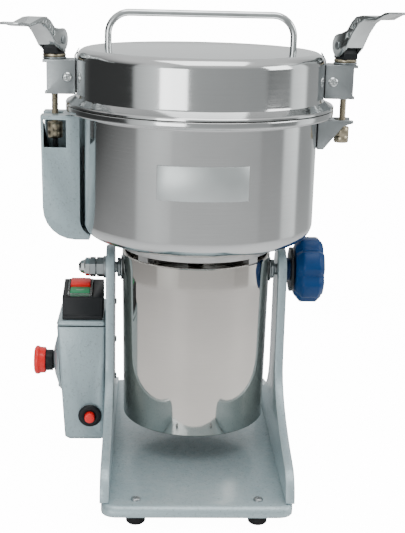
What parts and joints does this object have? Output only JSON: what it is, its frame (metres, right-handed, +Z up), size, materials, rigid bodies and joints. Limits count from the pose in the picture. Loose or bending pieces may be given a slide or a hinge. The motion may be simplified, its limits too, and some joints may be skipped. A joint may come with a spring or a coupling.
{
  "type": "tilting powder grinder",
  "caption": "Bench-top swing grinder: latched lid and stainless bowl with blades on a motor that tilts in a U-frame, with a switch box.",
  "frame": {"origin": "on the ground, under the middle of the whole machine", "axes": "+Z up, front towards -Y, +X towards the clamping knob"},
  "size_m": [0.3205, 0.29, 0.4127],
  "materials": {
    "polished_steel": "mirror-polished stainless steel",
    "brushed_steel": "fine brushed stainless steel",
    "hammertone_paint": "light silver hammertone powder coat",
    "zinc": "satin zinc-plated steel",
    "chrome": "bright plated steel",
    "brass_rod": "dull brass-tinted plated steel rod",
    "blue_plastic": "satin dark blue moulded plastic",
    "black_plastic": "black moulded plastic",
    "red_plastic": "bright red moulded plastic",
    "green_plastic": "green moulded plastic",
    "clear_plastic": "clear soft splash cover frame",
    "rubber": "black rubber",
    "silicone": "white silicone",
    "cast_aluminium": "machined casting",
    "iron_laminate": "stacked iron sheet",
    "copper": "copper segments",
    "carbon": "carbon brush block",
    "blank_label": "blank satin foil plate"
  },
  "bodies": {
    "frame": {"base_plate": "hammertone_paint", "left_arm": "hammertone_paint", "right_arm": "hammertone_paint", "front_left_foot": "rubber", "rear_left_foot": "rubber", "front_right_foot": "rubber", "rear_right_foot": "rubber", "control_box": "hammertone_paint", "control_box_top": "hammertone_paint", "switch_housing": "black_plastic", "switch_frame": "clear_plastic", "estop_plate": "hammertone_paint", "estop_collar": "black_plastic", "breaker_bezel": "black_plastic", "cable_gland": "black_plastic"},
    "grinder_head": {"motor_housing": "polished_steel", "motor_bottom_cover": "black_plastic", "motor_flange": "cast_aluminium", "stator": "iron_laminate", "upper_end_bracket": "cast_aluminium", "lower_end_bracket": "cast_aluminium", "upper_bearing": "polished_steel", "lower_bearing": "polished_steel", "left_brush": "carbon", "right_brush": "carbon", "grinding_bowl": "brushed_steel", "label_plate": "blank_label", "right_hook": "zinc", "side_cover": "hammertone_paint", "lid_switch": "black_plastic", "left_pivot_stud": "zinc", "right_pivot_stud": "zinc", "left_pivot_nut": "zinc", "dome_nut": "chrome"},
    "rotor": {"motor_shaft": "polished_steel", "rotor_core": "iron_laminate", "commutator": "copper", "cooling_fan": "black_plastic", "blade_spacer": "brushed_steel", "lower_blade": "brushed_steel", "upper_blade": "brushed_steel", "blade_nut": "brushed_steel"},
    "clamp_knob": {"tilt_knob": "blue_plastic", "knob_washer": "black_plastic"},
    "lid": {"lid": "brushed_steel", "lid_seal": "silicone", "lid_handle": "chrome", "left_latch_bracket": "zinc", "right_latch_bracket": "zinc", "left_latch_cup": "black_plastic", "right_latch_cup": "black_plastic"},
    "left_lever": {"left_lever": "chrome"},
    "right_lever": {"right_lever": "chrome"},
    "left_rod": {"left_rod": "brass_rod"},
    "right_rod": {"right_rod": "brass_rod"},
    "switch_plunger": {"switch_plunger": "black_plastic"},
    "start_button": {"start_button": "green_plastic"},
    "stop_button": {"stop_button": "red_plastic"},
    "estop_button": {"estop_button": "red_plastic"},
    "reset_button": {"reset_button": "red_plastic"}
  },
  "joints": [
    {"name": "head_tilt", "type": "hinge", "parent": "frame", "child": "grinder_head", "pos_m": [0, 0, 0.182], "axis": [1, 0, 0], "range_deg": [-30, 90]},
    {"name": "rotor_spin", "type": "hinge", "parent": "grinder_head", "child": "rotor", "pos_m": [0, 0, 0.182], "axis": [0, 0, 1], "continuous": true},
    {"name": "knob_turn", "type": "hinge", "parent": "grinder_head", "child": "clamp_knob", "pos_m": [0, 0, 0.182], "axis": [1, 0, 0], "range_deg": [0, 360]},
    {"name": "lid_lift", "type": "slide", "parent": "grinder_head", "child": "lid", "axis": [0, 0, 1], "range_m": [0, 0.12]},
    {"name": "left_lever_flip", "type": "hinge", "parent": "lid", "child": "left_lever", "pos_m": [-0.1245, 0, 0.3813], "axis": [-0.9397, 0.342, 0], "range_deg": [0, 80]},
    {"name": "right_lever_flip", "type": "hinge", "parent": "lid", "child": "right_lever", "pos_m": [0.1245, 0, 0.3813], "axis": [-0.9397, -0.342, 0], "range_deg": [0, 80]},
    {"name": "left_rod_swing", "type": "hinge", "parent": "lid", "child": "left_rod", "pos_m": [-0.1245, 0, 0.35], "axis": [0, 1, 0], "range_deg": [0, 60]},
    {"name": "right_rod_swing", "type": "hinge", "parent": "lid", "child": "right_rod", "pos_m": [0.1245, 0, 0.35], "axis": [0, -1, 0], "range_deg": [0, 60]},
    {"name": "plunger_press", "type": "slide", "parent": "grinder_head", "child": "switch_plunger", "axis": [0, 0, 1], "range_m": [-0.002, 0], "stiffness_N_per_m": 300, "springref_m": 0.002},
    {"name": "start_press", "type": "slide", "parent": "frame", "child": "start_button", "axis": [0, -0.2419, 0.9703], "range_m": [-0.003, 0], "stiffness_N_per_m": 400, "springref_m": 0.002},
    {"name": "stop_press", "type": "slide", "parent": "frame", "child": "stop_button", "axis": [0, -0.2419, 0.9703], "range_m": [-0.003, 0], "stiffness_N_per_m": 400, "springref_m": 0.002},
    {"name": "estop_press", "type": "slide", "parent": "frame", "child": "estop_button", "axis": [1, 0, 0], "range_m": [0, 0.003]},
    {"name": "reset_press", "type": "slide", "parent": "frame", "child": "reset_button", "axis": [0, 1, 0], "range_m": [0, 0.002]}
  ]
}
